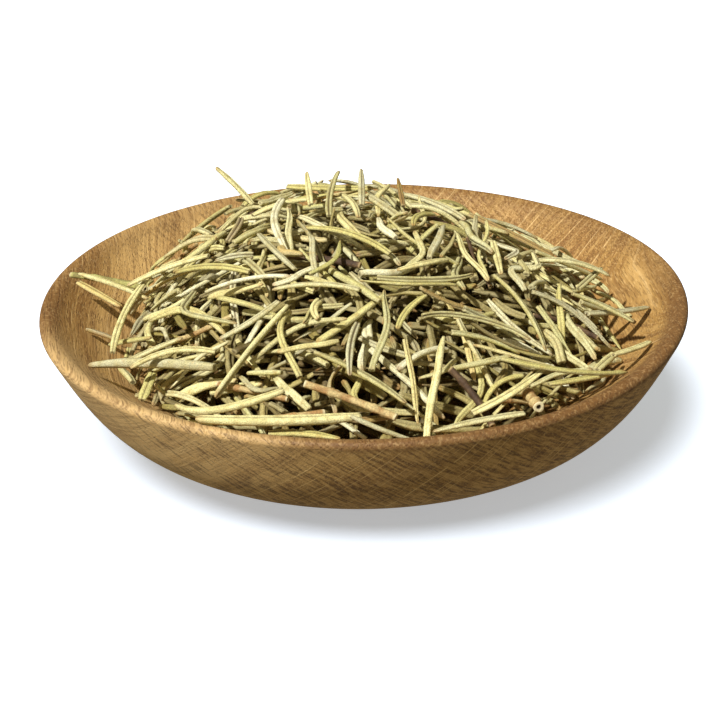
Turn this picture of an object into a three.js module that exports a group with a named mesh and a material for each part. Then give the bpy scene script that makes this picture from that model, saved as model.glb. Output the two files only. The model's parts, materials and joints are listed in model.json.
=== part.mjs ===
// A shallow turned wooden dish filled with a loose heap of dried rosemary leaves.
//
// Millimetres, +Z up. The origin is the centre of the dish's foot, on the surface that it stands on.
// The heap is one closed solid, the leaf bed, which follows the inside of the dish, with single
// leaves and bits of stalk lying on it and down its edge. Each of them is a mesh of its own.

import * as THREE from 'three';

// ---------- driving dimensions ----------

// The wall rises from the foot to the roll of the rim as one curve, whose two handles are given:
// the foot's lies so far out and up, and the rim's so far down along the leaning wall.
const DISH = {
  rimRadius: 70,
  height: 30,
  footRadius: 35,
  footEdge: 0.8,
  rimRoll: 1.1,
  wallLean: THREE.MathUtils.degToRad(27),
  wallCurve: { out: 22, up: 4, down: 18 },
  innerSlope: THREE.MathUtils.degToRad(41),
  lipWidth: 3,
  floorThickness: 7.5,
  segments: 60,
};

// The heap's top stands over its centre, which lies to the -X side, so its +X side is longer by
// the skew, and its -X side is rounder.
const HEAP = {
  centre: new THREE.Vector2(-6, -1),
  radius: 58,
  skew: 7,
  top: 49,
  roundness: 2.2,
  extraRoundness: 0.35,
  edgeHeight: 1.2,
  gapUnder: 0.5,
  segments: 44,
  rings: 11,
};

// The shares are those of a leaf's full section that are left at its two ends.
const LEAF = {
  width: 1.6,
  thickness: 1.2,
  baseShare: 0.72,
  tipShare: 0.42,
  gap: 0.4,
  steps: 7,
  samples: 24,
};

const STALK = {
  sides: 8,
  steps: 4,
};

// ---------- colours and finishes ----------

const finish = (colour, roughness) => ({ color: colour, roughness, metalness: 0 });
const WOOD = finish(0xb48250, 0.55);
const BED = finish(0x8a8354, 0.9);
const YELLOW = finish(0xc8c382, 0.75);
const OLIVE = finish(0xa6a268, 0.8);
const GREY_GREEN = finish(0x94966f, 0.85);
const PALE_ORANGE = finish(0xc39a66, 0.8);
const BROWN = finish(0x7d5a3c, 0.85);
const TWIG = finish(0x6b4a34, 0.9);
const PALE_TWIG = finish(0xb59a6a, 0.85);

const group = new THREE.Group();

function addMesh(name, geometry, look) {
  const mesh = new THREE.Mesh(geometry, new THREE.MeshStandardMaterial(look));
  mesh.name = name;
  group.add(mesh);
  return mesh;
}

// ---------- the dish ----------

const rollCentre = new THREE.Vector2(DISH.rimRadius - DISH.rimRoll, DISH.height - DISH.rimRoll);

// Inwards from the rim's crest the lip bends down to the inner slope, where the bowl begins.
const lipDrop = (Math.tan(DISH.innerSlope) * DISH.lipWidth) / 2;
const bowl = {
  radius: rollCentre.x - DISH.lipWidth,
  depth: DISH.height - lipDrop - DISH.floorThickness,
};
bowl.power = (Math.tan(DISH.innerSlope) * bowl.radius) / bowl.depth;

// Height of the dish at a distance from its axis: its inside, its lip and the rim's outer roll.
function innerHeight(radius) {
  if (radius < bowl.radius) {
    return DISH.floorThickness + bowl.depth * (radius / bowl.radius) ** bowl.power;
  }
  if (radius < rollCentre.x) {
    return DISH.height - lipDrop * ((rollCentre.x - radius) / DISH.lipWidth) ** 2;
  }
  const across = Math.min(radius - rollCentre.x, DISH.rimRoll);
  return rollCentre.y + Math.sqrt(DISH.rimRoll ** 2 - across ** 2);
}

function dishProfile() {
  const foot = new THREE.Vector2(DISH.footRadius, DISH.footEdge);
  const rollStart = new THREE.Vector2(
    rollCentre.x + DISH.rimRoll * Math.cos(DISH.wallLean),
    rollCentre.y - DISH.rimRoll * Math.sin(DISH.wallLean),
  );
  const wall = new THREE.CubicBezierCurve(
    foot,
    new THREE.Vector2(foot.x + DISH.wallCurve.out, foot.y + DISH.wallCurve.up),
    new THREE.Vector2(
      rollStart.x - DISH.wallCurve.down * Math.sin(DISH.wallLean),
      rollStart.y - DISH.wallCurve.down * Math.cos(DISH.wallLean),
    ),
    rollStart,
  );
  const roll = new THREE.EllipseCurve(
    rollCentre.x,
    rollCentre.y,
    DISH.rimRoll,
    DISH.rimRoll,
    -DISH.wallLean,
    Math.PI / 2,
  );
  const inside = [];
  const lipSteps = 3;
  for (let i = 1; i <= lipSteps; i += 1) {
    const radius = rollCentre.x - (DISH.lipWidth * i) / lipSteps;
    inside.push(new THREE.Vector2(radius, innerHeight(radius)));
  }
  const bowlSteps = 9;
  for (let i = 1; i <= bowlSteps; i += 1) {
    const radius = bowl.radius * (1 - i / bowlSteps);
    inside.push(new THREE.Vector2(radius, innerHeight(radius)));
  }
  return [
    new THREE.Vector2(0, 0),
    new THREE.Vector2(DISH.footRadius - DISH.footEdge, 0),
    ...wall.getPoints(8),
    ...roll.getPoints(6).slice(1),
    ...inside,
  ];
}

function buildDish() {
  const geometry = new THREE.LatheGeometry(dishProfile(), DISH.segments);
  geometry.rotateX(Math.PI / 2);
  return addMesh('dish', geometry, WOOD);
}

// ---------- the heap's surface ----------

// The heap's edge, as a distance from its centre: a circle with a few shallow lobes.
function heapEdge(angle) {
  const lobes = Math.cos(3 * angle + 0.7) - Math.cos(2 * angle);
  return HEAP.radius + HEAP.skew * Math.cos(angle) + lobes;
}

// Height of the heap at a share of the way from its centre to its edge, in a direction.
function heapHeight(share, angle) {
  const edge = heapEdge(angle);
  const x = HEAP.centre.x + edge * Math.cos(angle);
  const y = HEAP.centre.y + edge * Math.sin(angle);
  const foot = innerHeight(Math.hypot(x, y)) + HEAP.edgeHeight;
  const roundness = HEAP.roundness - HEAP.extraRoundness * Math.cos(angle);
  return HEAP.top - (HEAP.top - foot) * share ** roundness;
}

// Height of whatever lies under a plan position: the heap, or the dish outside it.
function groundHeight(x, y) {
  const dx = x - HEAP.centre.x;
  const dy = y - HEAP.centre.y;
  const angle = Math.atan2(dy, dx);
  const share = Math.hypot(dx, dy) / heapEdge(angle);
  const wood = innerHeight(Math.hypot(x, y));
  return share < 1 ? Math.max(wood, heapHeight(share, angle)) : wood;
}

// The bed starts as a flat disc of radius 1 and thickness 1, whose rings are then moved to the
// heap's surface above and to the inside of the dish below.
function buildLeafBed() {
  const shares = Array.from({ length: HEAP.rings + 1 }, (_, i) => i / HEAP.rings);
  const under = shares.map((share) => new THREE.Vector2(share, 0));
  const top = shares.map((share) => new THREE.Vector2(share, 1)).reverse();
  const geometry = new THREE.LatheGeometry([...under, ...top], HEAP.segments);
  geometry.rotateX(Math.PI / 2);
  const points = geometry.attributes.position;
  for (let i = 0; i < points.count; i += 1) {
    const angle = Math.atan2(points.getY(i), points.getX(i));
    const share = Math.hypot(points.getX(i), points.getY(i));
    const x = HEAP.centre.x + share * heapEdge(angle) * Math.cos(angle);
    const y = HEAP.centre.y + share * heapEdge(angle) * Math.sin(angle);
    const wood = innerHeight(Math.hypot(x, y)) + HEAP.gapUnder;
    points.setXYZ(i, x, y, points.getZ(i) > 0.5 ? heapHeight(share, angle) : wood);
  }
  return addMesh('leaf_bed', geometry, BED);
}

// ---------- single leaves and stalks ----------

// A leaf's section: rounded above with a groove along the middle, flat underneath.
function leafSection() {
  return new THREE.Shape([
    new THREE.Vector2(-1, 0.1),
    new THREE.Vector2(-0.5, -0.8),
    new THREE.Vector2(0.5, -0.8),
    new THREE.Vector2(1, 0.1),
    new THREE.Vector2(0.6, 0.85),
    new THREE.Vector2(0, 0.6),
    new THREE.Vector2(-0.6, 0.85),
  ]);
}

function stalkSection() {
  const corners = [];
  for (let i = 0; i < STALK.sides; i += 1) {
    const angle = (2 * Math.PI * i) / STALK.sides;
    corners.push(new THREE.Vector2(Math.cos(angle), Math.sin(angle)));
  }
  return new THREE.Shape(corners);
}

// Share of the full section at a place along a leaf, from its base at -1 to its tip at 1.
function leafTaper(place) {
  const toBase = THREE.MathUtils.smoothstep(-place, 0.2, 1);
  const toTip = THREE.MathUtils.smoothstep(place, 0.45, 1);
  return 1 - (1 - LEAF.baseShare) * toBase - (1 - LEAF.tipShare) * toTip;
}

// A stalk keeps its section, apart from a slight swelling where a leaf once sat.
function stalkTaper(place) {
  return 1 - 0.12 * Math.cos(2 * Math.PI * place);
}

// How far a bent piece's middle line lies from its chord: 0 at both ends, 1 in the middle.
const bow = (place) => 1 - place ** 2;

// A slim piece in its own frame: it runs along X about its middle and bows along Y and Z.
function slimGeometry(piece, length) {
  const { section, taper, steps } = piece.kind;
  const geometry = new THREE.ExtrudeGeometry(section, { depth: 1, steps, bevelEnabled: false });
  const points = geometry.attributes.position;
  for (let i = 0; i < points.count; i += 1) {
    const place = 2 * points.getZ(i) - 1;
    const share = taper(place);
    points.setXYZ(
      i,
      (place * length) / 2,
      piece.side * bow(place) + (points.getX(i) * share * piece.width) / 2,
      piece.arch * bow(place) + (points.getY(i) * share * piece.thickness) / 2,
    );
  }
  geometry.computeVertexNormals();
  return geometry;
}

const LEAF_KIND = { section: leafSection(), taper: leafTaper, steps: LEAF.steps };
const STALK_KIND = { section: stalkSection(), taper: stalkTaper, steps: STALK.steps };

// Balls strung along the middle lines of the pieces already lying there.
const lying = [];

// Lowest height at which a ball of a piece's half width may stand over a plan position.
function clearHeight(x, y, reach) {
  const step = 0.5;
  const ground = groundHeight(x, y);
  const slopeX = (groundHeight(x + step, y) - groundHeight(x - step, y)) / (2 * step);
  const slopeY = (groundHeight(x, y + step) - groundHeight(x, y - step)) / (2 * step);
  let height = ground + (reach + LEAF.gap) * Math.hypot(1, slopeX, slopeY);
  for (const ball of lying) {
    const apart = Math.hypot(x - ball.x, y - ball.y);
    const touching = reach + LEAF.gap + ball.reach;
    if (apart < touching) {
      height = Math.max(height, ball.z + Math.sqrt(touching ** 2 - apart ** 2));
    }
  }
  return height;
}

// The straight line that rests on two of the points, one on each side of the middle.
function supportLine(points) {
  const line = { height: -Infinity, slope: 0 };
  for (const back of points.filter((point) => point.along < 0)) {
    for (const front of points.filter((point) => point.along > 0)) {
      const slope = (front.height - back.height) / (front.along - back.along);
      const height = back.height - slope * back.along;
      if (height > line.height) {
        line.height = height;
        line.slope = slope;
      }
    }
  }
  return line;
}

// Lays a slim piece from one plan position to another, on whatever is already under it.
// A piece with a slope of its own keeps it, and is lowered until it touches. A piece with a lift
// is then held up by that much, as a leaf is by its stem.
function layDown(name, from, to, piece) {
  const heading = Math.atan2(to[1] - from[1], to[0] - from[0]);
  const span = Math.hypot(to[0] - from[0], to[1] - from[1]);
  const middle = [(from[0] + to[0]) / 2, (from[1] + to[1]) / 2];
  const points = [];
  for (let i = 0; i <= LEAF.samples; i += 1) {
    const place = (2 * i) / LEAF.samples - 1;
    const reach = (piece.kind.taper(place) * Math.max(piece.width, piece.thickness)) / 2;
    const along = (place * span) / 2;
    const x = middle[0] + along * Math.cos(heading) - piece.side * bow(place) * Math.sin(heading);
    const y = middle[1] + along * Math.sin(heading) + piece.side * bow(place) * Math.cos(heading);
    const height = clearHeight(x, y, reach) - piece.arch * bow(place);
    points.push({ x, y, along, height, reach, rise: piece.arch * bow(place) });
  }
  let line = supportLine(points);
  if (piece.slope !== undefined) {
    const heights = points.map((point) => point.height - piece.slope * point.along);
    line = { slope: piece.slope, height: Math.max(...heights) + (piece.lift ?? 0) };
  }
  const mesh = addMesh(name, slimGeometry(piece, span * Math.hypot(1, line.slope)), piece.look);
  mesh.position.set(middle[0], middle[1], line.height);
  mesh.rotation.set(0, -Math.atan(line.slope), heading, 'ZYX');
  for (const point of points) {
    const z = line.height + line.slope * point.along + point.rise;
    lying.push({ x: point.x, y: point.y, z, reach: point.reach });
  }
  return mesh;
}

// The size of the few leaves that never curled up.
const BROAD = { width: 3, thickness: 2.6 };

// A leaf to lay down. Its side and arch say how far its middle bows sideways and upwards.
function leaf(look, options = {}) {
  const shape = { width: LEAF.width, thickness: LEAF.thickness, side: 0, arch: 0 };
  return { kind: LEAF_KIND, look, ...shape, ...options };
}

function stalk(look, thickness, options = {}) {
  return { kind: STALK_KIND, look, width: thickness, thickness, side: 0, arch: 0, ...options };
}

// Leaves along the front of the rim, partly on the rim itself. Each piece here and below runs
// from one plan position to another, and a leaf runs from its base to its tip.
function layRimLeaves() {
  layDown('leaf_front_rim', [-19, -60.5], [-5, -64], leaf(OLIVE, { side: 1, width: 2 }));
  layDown('leaf_front_long', [-1, -59.5], [-33, -60], leaf(YELLOW, { side: 1.5, width: 2.8, thickness: 2.2 }));
  layDown('leaf_front_middle', [-3, -61.5], [9, -61.5], leaf(GREY_GREEN, { side: -0.8 }));
  layDown('leaf_front_right', [31, -58.5], [13, -65], leaf(YELLOW, { side: -0.6, width: 2 }));
}

// Bits of stalk.
function layStalks() {
  layDown('stalk_left_sprig', [-65, 14], [-47, -2], stalk(OLIVE, 1.7, { side: 1 }));
  layDown('stalk_front_orange', [-30, -57], [-8, -55.5], stalk(PALE_TWIG, 2, { side: -1 }));
  layDown('stalk_front_pink', [-12, -51], [6, -57], stalk(PALE_TWIG, 1.9, { side: 0.5 }));
  layDown('stalk_front_hollow', [32, -46], [34, -56], stalk(PALE_TWIG, 2.7));
  layDown('stalk_right_dark', [17, -46], [25, -55], stalk(TWIG, 1.8, { side: 0.8 }));
}

// Leaves down the left side of the heap, the lowest first.
function layLeftLeaves() {
  const held = { slope: 0, lift: 2.4 };
  layDown('leaf_left_sprig_lower', [-62.8, 9.6], [-52.3, -4], leaf(PALE_ORANGE, { ...held, width: 2 }));
  layDown('leaf_left_sprig_upper', [-62.4, 10.3], [-46, -8.5], leaf(YELLOW, { side: 0.6, width: 2 }));
  layDown('leaf_left_small', [-60, -3.5], [-53.5, -9.5], leaf(BROWN, { width: 1.2, thickness: 1.2 }));
  layDown('leaf_left_cross', [-54, -14], [-44, -27], leaf(OLIVE));
  layDown('leaf_left_rise', [-52, -28], [-46, -2], leaf(YELLOW, { side: 1.5, slope: 0.22 }));
  layDown('leaf_left_stub', [-45, -43], [-43, -36], leaf(OLIVE, { width: 2.2 }));
  layDown('leaf_left_pale', [-50, -28], [-37, -34], leaf(YELLOW, { side: 1.2 }));
  layDown('leaf_left_long', [-30, -43], [-57, -29], leaf(GREY_GREEN, { side: 0.8, arch: 1, ...BROAD }));
  layDown('leaf_left_over', [-30, -39], [-47, -42], leaf(YELLOW, { side: -2, arch: 1 }));
}

// Leaves in the middle of the heap's front.
function layFrontLeaves() {
  layDown('leaf_front_curl', [-16, -54], [-38, -45], leaf(YELLOW, { side: 6, width: 2.2, thickness: 1.8 }));
  layDown('leaf_front_bow', [-10, -46], [8, -55], leaf(OLIVE, { side: 1.5, width: 2.2 }));
}

// Leaves down the right side of the heap.
function layRightLeaves() {
  layDown('leaf_right_front', [21, -55], [36, -46], leaf(YELLOW, { side: -1, width: 2.3 }));
  layDown('leaf_right_pale', [27, -48], [53, -39.5], leaf(OLIVE, { side: -3, width: 1.5 }));
  layDown('leaf_right_low', [37, -42], [53, -32.5], leaf(OLIVE, { side: -0.6 }));
  layDown('leaf_right_notch', [47, -39], [52, -25], leaf(YELLOW, { width: 2 }));
  layDown('leaf_right_fork', [51, -32], [60, -20], leaf(YELLOW, { side: -0.6, width: 2 }));
  layDown('leaf_right_tip', [47, -16], [62, 0], leaf(GREY_GREEN, { side: -1, width: 2 }));
  layDown('leaf_right_back', [44, -14], [57, -16], leaf(OLIVE, { side: 1 }));
  layDown('leaf_right_rise', [46, -6], [52, 3], leaf(OLIVE, { slope: 0.1 }));
}

// Leaves over the top of the heap, whose tips stand out of it.
function layTopLeaves() {
  layDown('leaf_top_spike', [-24, 15], [-32, 18], leaf(YELLOW, { slope: 0.9, side: -0.5 }));
  layDown('leaf_top_left', [-11, 4], [-12, 16], leaf(YELLOW, { slope: 0.25 }));
  layDown('leaf_top_middle', [-7, -2], [-5, 17], leaf(OLIVE, { slope: 0.15, side: 0.8 }));
  layDown('leaf_top_right', [0, 5], [0, 19], leaf(GREY_GREEN, { slope: 0.22 }));
  layDown('leaf_top_brown', [9, 9], [8, 18], leaf(BROWN, { slope: 0.35, width: 1.2 }));
}

// The other leaves on top of the heap are spread evenly over it by the golden angle, the later
// ones higher up, and point every way.
function layScatteredLeaves() {
  const count = 25;
  const goldenAngle = Math.PI * (3 - Math.sqrt(5));
  const looks = [YELLOW, OLIVE, GREY_GREEN, OLIVE, YELLOW, OLIVE, YELLOW, GREY_GREEN, BROWN];
  for (let i = 0; i < count; i += 1) {
    const angle = i * goldenAngle;
    const share = 0.8 * Math.sqrt(1 - (i + 0.5) / count);
    const x = HEAP.centre.x + share * heapEdge(angle) * Math.cos(angle);
    const y = HEAP.centre.y + share * heapEdge(angle) * Math.sin(angle);
    const heading = 2.3 * i;
    const half = 8 + 2.5 * Math.sin(1.7 * i);
    const from = [x - half * Math.cos(heading), y - half * Math.sin(heading)];
    const to = [x + half * Math.cos(heading), y + half * Math.sin(heading)];
    const bend = { side: 1.4 * Math.sin(2.9 * i), arch: 0.8 + 0.6 * Math.cos(4.1 * i) };
    const number = String(i + 1).padStart(2, '0');
    layDown(`leaf_${number}`, from, to, leaf(looks[i % looks.length], bend));
  }
}

buildDish();
buildLeafBed();
layRimLeaves();
layStalks();
layLeftLeaves();
layFrontLeaves();
layRightLeaves();
layScatteredLeaves();
layTopLeaves();

export default group;
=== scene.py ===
"""A shallow turned wooden dish filled with a loose heap of dried rosemary leaves.

Lengths are in metres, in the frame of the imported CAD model: +Z up, the origin at the centre of the
dish's foot. The dish and each single CAD leaf and stalk are replaced by a finer mesh in the same
place. The CAD leaf bed is replaced by real leaves, dropped one by one until the heap is full.
"""

import json
import math

import bpy
import numpy as np
from mathutils import Matrix, Vector


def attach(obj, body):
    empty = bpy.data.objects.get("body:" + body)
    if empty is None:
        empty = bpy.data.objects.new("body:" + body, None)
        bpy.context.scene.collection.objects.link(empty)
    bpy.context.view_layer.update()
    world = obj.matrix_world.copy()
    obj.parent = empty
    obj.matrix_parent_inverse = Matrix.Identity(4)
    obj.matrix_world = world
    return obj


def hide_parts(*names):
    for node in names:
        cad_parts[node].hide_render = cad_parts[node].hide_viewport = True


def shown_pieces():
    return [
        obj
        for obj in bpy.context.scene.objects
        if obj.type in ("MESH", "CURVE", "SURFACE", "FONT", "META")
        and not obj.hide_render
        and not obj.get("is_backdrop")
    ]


MM = 0.001

# ---- the photograph's view ----

IMAGE_SIZE = 720
FOCAL_LENGTH_PIXELS = 2393
SENSOR_WIDTH_MM = 36
CAMERA_TARGET = Vector((0, 0, 30 * MM))
TARGET_PIXEL = (363.5, 297.5)
CAMERA_DISTANCE = 520 * MM
CAMERA_ELEVATION = math.radians(23.7)
CAMERA_ROLL = math.radians(-1)

# ---- the dish, as the CAD builds it ----

RIM_RADIUS = 70 * MM
DISH_HEIGHT = 30 * MM
FOOT_RADIUS = 35 * MM
FOOT_EDGE = 0.8 * MM
RIM_ROLL = 1.1 * MM
WALL_LEAN = math.radians(27)
WALL_OUT, WALL_UP, WALL_DOWN = 22 * MM, 4 * MM, 18 * MM
INNER_SLOPE = math.radians(41)
LIP_WIDTH = 3 * MM
FLOOR_THICKNESS = 7.5 * MM

ROLL_RADIUS = RIM_RADIUS - RIM_ROLL
ROLL_HEIGHT = DISH_HEIGHT - RIM_ROLL
LIP_DROP = math.tan(INNER_SLOPE) * LIP_WIDTH / 2
BOWL_RADIUS = ROLL_RADIUS - LIP_WIDTH
BOWL_DEPTH = DISH_HEIGHT - LIP_DROP - FLOOR_THICKNESS
BOWL_POWER = math.tan(INNER_SLOPE) * BOWL_RADIUS / BOWL_DEPTH

# ---- the heap, as the CAD builds it ----

HEAP_CENTRE = (-6 * MM, -1 * MM)
HEAP_RADIUS = 58 * MM
HEAP_SKEW = 7 * MM
HEAP_LOBE = 1 * MM
HEAP_TOP = 49 * MM
HEAP_ROUNDNESS = 2.2
HEAP_EXTRA_ROUNDNESS = 0.35
HEAP_EDGE_HEIGHT = 1.2 * MM

rng = np.random.default_rng(seed=20)

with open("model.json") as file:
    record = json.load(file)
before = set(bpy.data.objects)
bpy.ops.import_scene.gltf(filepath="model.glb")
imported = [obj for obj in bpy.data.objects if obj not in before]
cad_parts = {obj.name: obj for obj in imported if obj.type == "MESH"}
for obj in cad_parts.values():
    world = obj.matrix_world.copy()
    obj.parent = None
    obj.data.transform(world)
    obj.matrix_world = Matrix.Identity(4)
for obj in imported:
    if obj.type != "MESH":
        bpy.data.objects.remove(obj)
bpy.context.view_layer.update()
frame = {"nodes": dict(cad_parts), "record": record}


# ---- node helpers ----


def set_inputs(tree, receiver, inputs):
    """Sets a node's inputs to numbers, or links them to sockets."""
    for key, value in inputs.items():
        if isinstance(value, bpy.types.NodeSocket):
            tree.links.new(value, receiver.inputs[key])
        else:
            receiver.inputs[key].default_value = value


def node(tree, kind, inputs=None, **settings):
    made = tree.nodes.new(kind)
    for name, value in settings.items():
        setattr(made, name, value)
    set_inputs(tree, made, inputs or {})
    return made


def calc(tree, operation, *values):
    inputs = dict(enumerate(values))
    return node(tree, "ShaderNodeMath", inputs, operation=operation).outputs[0]


def times(tree, first, second):
    return calc(tree, "MULTIPLY", first, second)


def times_plus(tree, value, factor, added):
    return calc(tree, "MULTIPLY_ADD", value, factor, added)


def mix(tree, factor, first, second, blend_type="MIX"):
    inputs = {0: factor, 6: first, 7: second}
    made = node(tree, "ShaderNodeMix", inputs, data_type="RGBA", blend_type=blend_type)
    return made.outputs[2]


def tint(tree, colour, mask, strength, other):
    """The colour, mixed with another one by a mask times a strength."""
    return mix(tree, times(tree, mask, strength), colour, other)


def shaded(tree, colour, shade):
    """The colour, with all its channels times a shade."""
    grey = node(tree, "ShaderNodeCombineColor", {0: shade, 1: shade, 2: shade}).outputs[0]
    return mix(tree, 1.0, colour, grey, "MULTIPLY")


def ramp(tree, factor, stops):
    """A colour ramp from (place, colour) stops."""
    made = node(tree, "ShaderNodeValToRGB", {0: factor})
    elements = made.color_ramp.elements
    elements[0].position, elements[0].color = stops[0]
    elements[1].position, elements[1].color = stops[-1]
    for place, colour in stops[1:-1]:
        elements.new(place).color = colour
    return made.outputs[0]


def step(tree, value, low, high):
    """0 below low, 1 above high, and smooth between them."""
    inputs = {0: value, 1: low, 2: high, 3: 0.0, 4: 1.0}
    made = node(tree, "ShaderNodeMapRange", inputs, interpolation_type="SMOOTHSTEP")
    return made.outputs[0]


def noise(tree, vector, scale, detail=2.0, roughness=0.5):
    inputs = {"Vector": vector, "Scale": scale, "Detail": detail, "Roughness": roughness}
    return node(tree, "ShaderNodeTexNoise", inputs).outputs["Fac"]


def rgb(red, green, blue):
    """A colour from its 0 to 255 screen values, as the shader's linear numbers."""
    linear = [(channel / 255) ** 2.2 for channel in (red, green, blue)]
    return (*linear, 1.0)


def new_material(name):
    material = bpy.data.materials.new(name)
    material.use_nodes = True
    tree = material.node_tree
    return material, tree, tree.nodes["Principled BSDF"]


def finish_shader(tree, shader, colour, roughness, height, relief):
    """Gives a shader its colour, its roughness, and bumps from a height times the relief."""
    inputs = {"Height": height, "Distance": relief, "Strength": 1.0}
    bump = node(tree, "ShaderNodeBump", inputs).outputs[0]
    set_inputs(tree, shader, {"Base Color": colour, "Roughness": roughness, "Normal": bump})


# ---- materials ----


# The wood's directions: along its fibres, through its stacked growth rings, and across its rays.
FIBRE = Vector((0.12, -0.993, 0)).normalized()
THROUGH_RINGS = Vector((-0.764, -0.092, 0.637)).normalized()
ACROSS_RAYS = FIBRE.cross(THROUGH_RINGS)
# The way towards the front left, where the wood is painted paler as painted light.
TOWARD_PAINTED_LIGHT = Vector((-0.72, -0.69, 0))

RING_SPACING = 1.5 * MM
RING_UNEVENNESS = 2.5 * MM
RING_BEND = 0.35
RING_WANDER = 9 * MM

WOOD_BROWNS = [
    (0.30, rgb(150, 111, 58)),
    (0.50, rgb(166, 126, 68)),
    (0.72, rgb(180, 140, 80)),
]

# What is laid over the browns, in this order: how strong it is at most, and its colour.
WOOD_TINTS = {
    "pale_layers": (0.80, rgb(226, 184, 116)),
    # Painted light: the front left, on the side the key light falls on, made paler.
    "painted_light_patch": (0.75, rgb(232, 196, 136)),
    "bands": (0.45, rgb(138, 96, 48)),
    "dark_layers": (0.60, rgb(116, 78, 38)),
    "light_layers": (0.45, rgb(204, 164, 100)),
    "pores": (0.35, rgb(100, 66, 34)),
    "end_grain": (0.10, rgb(104, 72, 36)),
    "pale_rays": (0.60, rgb(210, 168, 104)),
    "dark_rays": (0.60, rgb(84, 56, 26)),
    "dots": (0.45, rgb(222, 182, 118)),
    "ring_lines": (0.90, rgb(238, 200, 136)),
    # Painted shade: the rim darkened, most at the front, to tone down its lit top.
    "rim_painted_shade": (0.85, rgb(108, 73, 36)),
    "rubbed_rim": (0.35, rgb(206, 168, 112)),
}


def reach_along(tree, axis, vector):
    """How far a vector reaches along an axis."""
    made = node(tree, "ShaderNodeVectorMath", {0: vector, 1: axis}, operation="DOT_PRODUCT")
    return made.outputs["Value"]


def grain_noise(tree, place, depth):
    """Gives a function that makes noise in the wood's own directions, with a scale along the
    fibres, one through the rings and one across the rays."""
    directions = (reach_along(tree, FIBRE, place), depth, reach_along(tree, ACROSS_RAYS, place))

    def noise_with(*scales, detail=2, roughness=0.5):
        parts = {
            axis: times(tree, direction, scale)
            for axis, (direction, scale) in enumerate(zip(directions, scales))
        }
        vector = node(tree, "ShaderNodeCombineXYZ", parts).outputs[0]
        return noise(tree, vector, 1.0, detail, roughness)

    return noise_with


def ring_lines(tree, grain, depth):
    """Growth rings: thin pale lines, unevenly spaced, some bold and some faint."""
    uneven = noise(tree, node(tree, "ShaderNodeCombineXYZ", {0: depth}).outputs[0], 210, 1)
    shifted = times_plus(tree, uneven, RING_UNEVENNESS, depth)
    turns = calc(tree, "DIVIDE", shifted, RING_SPACING)
    phase = calc(tree, "FRACT", turns)
    whole = calc(tree, "FLOOR", turns)
    number = node(tree, "ShaderNodeTexWhiteNoise", {"W": whole}, noise_dimensions="1D")
    boldness = calc(tree, "POWER", number.outputs["Value"], 1.6)
    line = times(tree, step(tree, phase, 0.78, 0.90), step(tree, phase, 1.0, 0.90))
    unbroken = step(tree, grain(90, 90, 330), 0.30, 0.52)
    return times(tree, times(tree, line, boldness), unbroken)


def grain_masks(tree, layers, rays, depth, end_grain):
    """Thick pale layers deep in the board, fine ones that show less where the fibres end, and
    rays that show there only."""
    from_below = step(tree, depth, 20 * MM, 36 * MM)
    from_above = step(tree, depth, 66 * MM, 48 * MM)
    show = times_plus(tree, end_grain, -0.45, 1.0)
    return {
        "pale_layers": times(tree, from_below, from_above),
        "dark_layers": times(tree, step(tree, layers, 0.46, 0.64), show),
        "light_layers": times(tree, step(tree, layers, 0.46, 0.32), show),
        "pale_rays": times(tree, step(tree, rays, 0.48, 0.62), end_grain),
        "dark_rays": times(tree, step(tree, rays, 0.48, 0.36), end_grain),
    }


def rim_masks(tree, place, backwards, height, painted_light_patch):
    """The rim gets painted shade that tones down its lit top. It is darkest at the front and lighter
    in the patch of painted light, and it is rubbed pale again in patches.
    """
    on_rim = step(tree, height, DISH_HEIGHT - 3.0 * MM, DISH_HEIGHT - 0.4 * MM)
    rubbed = step(tree, noise(tree, place, 1300, 4, 0.6), 0.50, 0.66)
    at_front = times_plus(tree, step(tree, backwards, 30 * MM, -10 * MM), 0.6, 0.4)
    rim_shade = times(tree, on_rim, times_plus(tree, painted_light_patch, -0.8, 1.0))
    return {
        "rim_painted_shade": times(tree, rim_shade, at_front),
        "rubbed_rim": times(tree, on_rim, rubbed),
    }


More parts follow.
